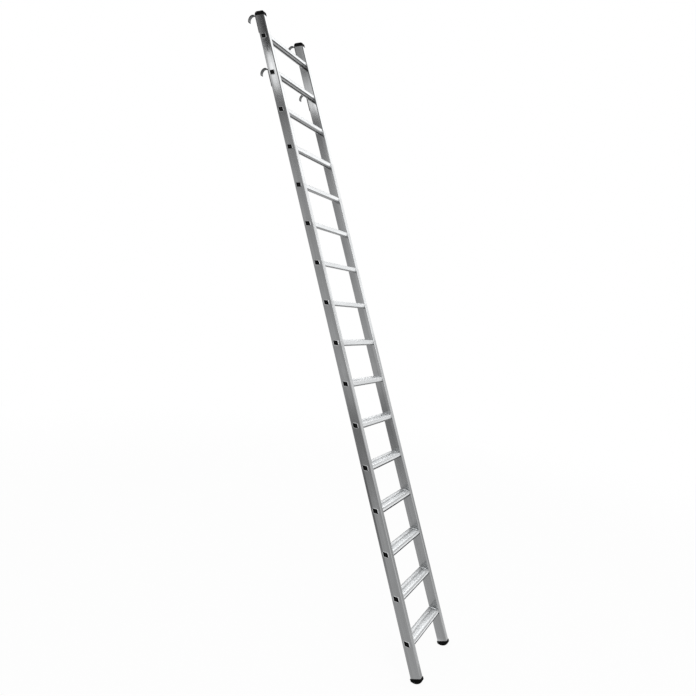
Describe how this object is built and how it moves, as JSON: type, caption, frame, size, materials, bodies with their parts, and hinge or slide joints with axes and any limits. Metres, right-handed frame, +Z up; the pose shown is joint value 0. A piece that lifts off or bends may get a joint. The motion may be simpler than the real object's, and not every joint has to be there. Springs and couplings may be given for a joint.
{
  "type": "shelf ladder",
  "caption": "Straight aluminium shelf ladder: hollow rectangular stiles, ribbed treads swaged through them, rail hooks at the rear of the stiles, black end caps, plugs and feet.",
  "frame": {"origin": "floor level, at the middle of the ladder's footprint as it leans in use", "axes": "+X across the ladder to the climber's right, +Y towards the shelf, +Z up; treads level"},
  "size_m": [0.4774, 1.6592, 3.8409],
  "materials": {
    "stile_aluminium": "mill-finish extrusion with fine lengthwise drawing lines",
    "tread_aluminium": "bright mill-finish extrusion with fine ribs",
    "black_plastic": "black moulded plastic, fine grain",
    "black_rubber": "black moulded rubber",
    "hook_steel": "zinc-plated flat strip",
    "rivet_aluminium": "plain blind rivet"
  },
  "bodies": {
    "root": {"left_stile": "stile_aluminium", "right_stile": "stile_aluminium", "tread_01": "tread_aluminium", "tread_02": "tread_aluminium", "tread_03": "tread_aluminium", "tread_04": "tread_aluminium", "tread_05": "tread_aluminium", "tread_06": "tread_aluminium", "tread_07": "tread_aluminium", "tread_08": "tread_aluminium", "tread_09": "tread_aluminium", "tread_10": "tread_aluminium", "tread_11": "tread_aluminium", "tread_12": "tread_aluminium", "tread_13": "tread_aluminium", "tread_14": "tread_aluminium", "tread_15": "tread_aluminium", "tread_16": "tread_aluminium", "left_plug_01": "black_plastic", "left_plug_02": "black_plastic", "left_plug_03": "black_plastic", "left_plug_04": "black_plastic", "left_plug_05": "black_plastic", "left_plug_06": "black_plastic", "left_plug_07": "black_plastic", "left_plug_08": "black_plastic", "left_plug_09": "black_plastic", "left_plug_10": "black_plastic", "left_plug_11": "black_plastic", "left_plug_12": "black_plastic", "left_plug_13": "black_plastic", "left_plug_14": "black_plastic", "left_plug_15": "black_plastic", "left_plug_16": "black_plastic", "right_plug_01": "black_plastic", "right_plug_02": "black_plastic", "right_plug_03": "black_plastic", "right_plug_04": "black_plastic", "right_plug_05": "black_plastic", "right_plug_06": "black_plastic", "right_plug_07": "black_plastic", "right_plug_08": "black_plastic", "right_plug_09": "black_plastic", "right_plug_10": "black_plastic", "right_plug_11": "black_plastic", "right_plug_12": "black_plastic", "right_plug_13": "black_plastic", "right_plug_14": "black_plastic", "right_plug_15": "black_plastic", "right_plug_16": "black_plastic", "left_cap": "black_plastic", "right_cap": "black_plastic", "left_foot": "black_rubber", "right_foot": "black_rubber", "upper_left_hook": "hook_steel", "upper_right_hook": "hook_steel", "lower_left_hook": "hook_steel", "lower_right_hook": "hook_steel", "hook_rivets": "rivet_aluminium"}
  },
  "joints": []
}
